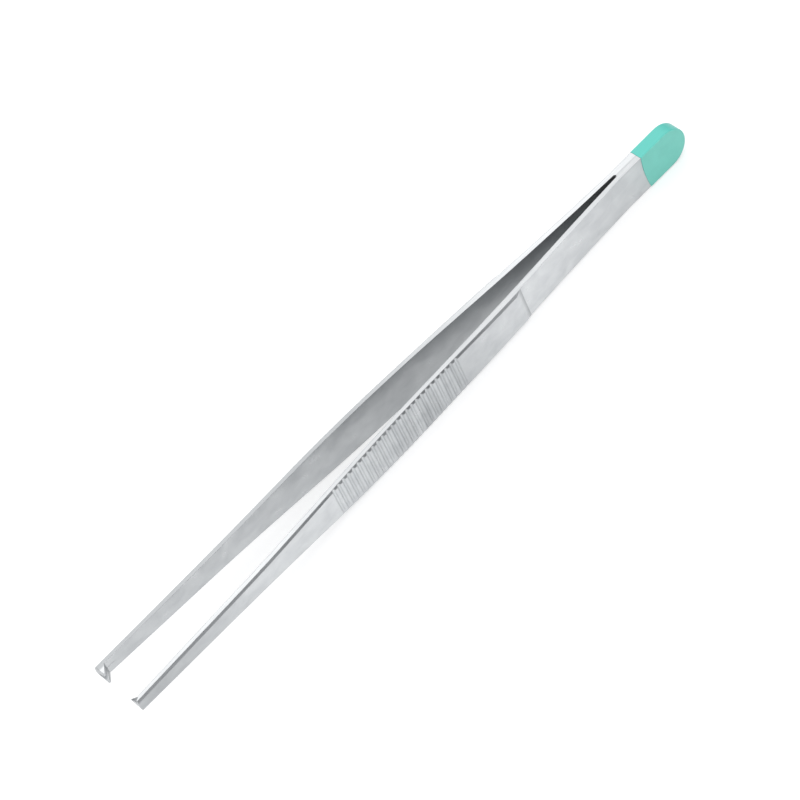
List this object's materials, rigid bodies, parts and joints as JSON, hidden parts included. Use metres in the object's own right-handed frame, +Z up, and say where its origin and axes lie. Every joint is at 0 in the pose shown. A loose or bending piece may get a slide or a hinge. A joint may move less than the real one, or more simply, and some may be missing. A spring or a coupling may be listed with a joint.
{
  "type": "thumb forceps",
  "caption": "Toothed thumb forceps of satin stainless steel, with a grooved finger grip, interlocking teeth at the tips and a welded heel dipped in mint green.",
  "frame": {"origin": "Centre of the bounding box in X and Y, on the surface that the side edges of the arms rest on.", "axes": "+X runs along the length from the toothed tips to the coated heel, +Y is the spread of the arms towards the arm with two teeth, +Z is up, across the width of the arms."},
  "size_m": [0.145, 0.0122, 0.0089],
  "materials": {
    "satin_steel": "satin stainless steel with fine brushing",
    "mint_coating": "semi-gloss dipped coating"
  },
  "bodies": {
    "root": {"single_tooth_arm": "satin_steel", "double_tooth_arm": "satin_steel", "green_heel_coating": "mint_coating"}
  },
  "joints": []
}
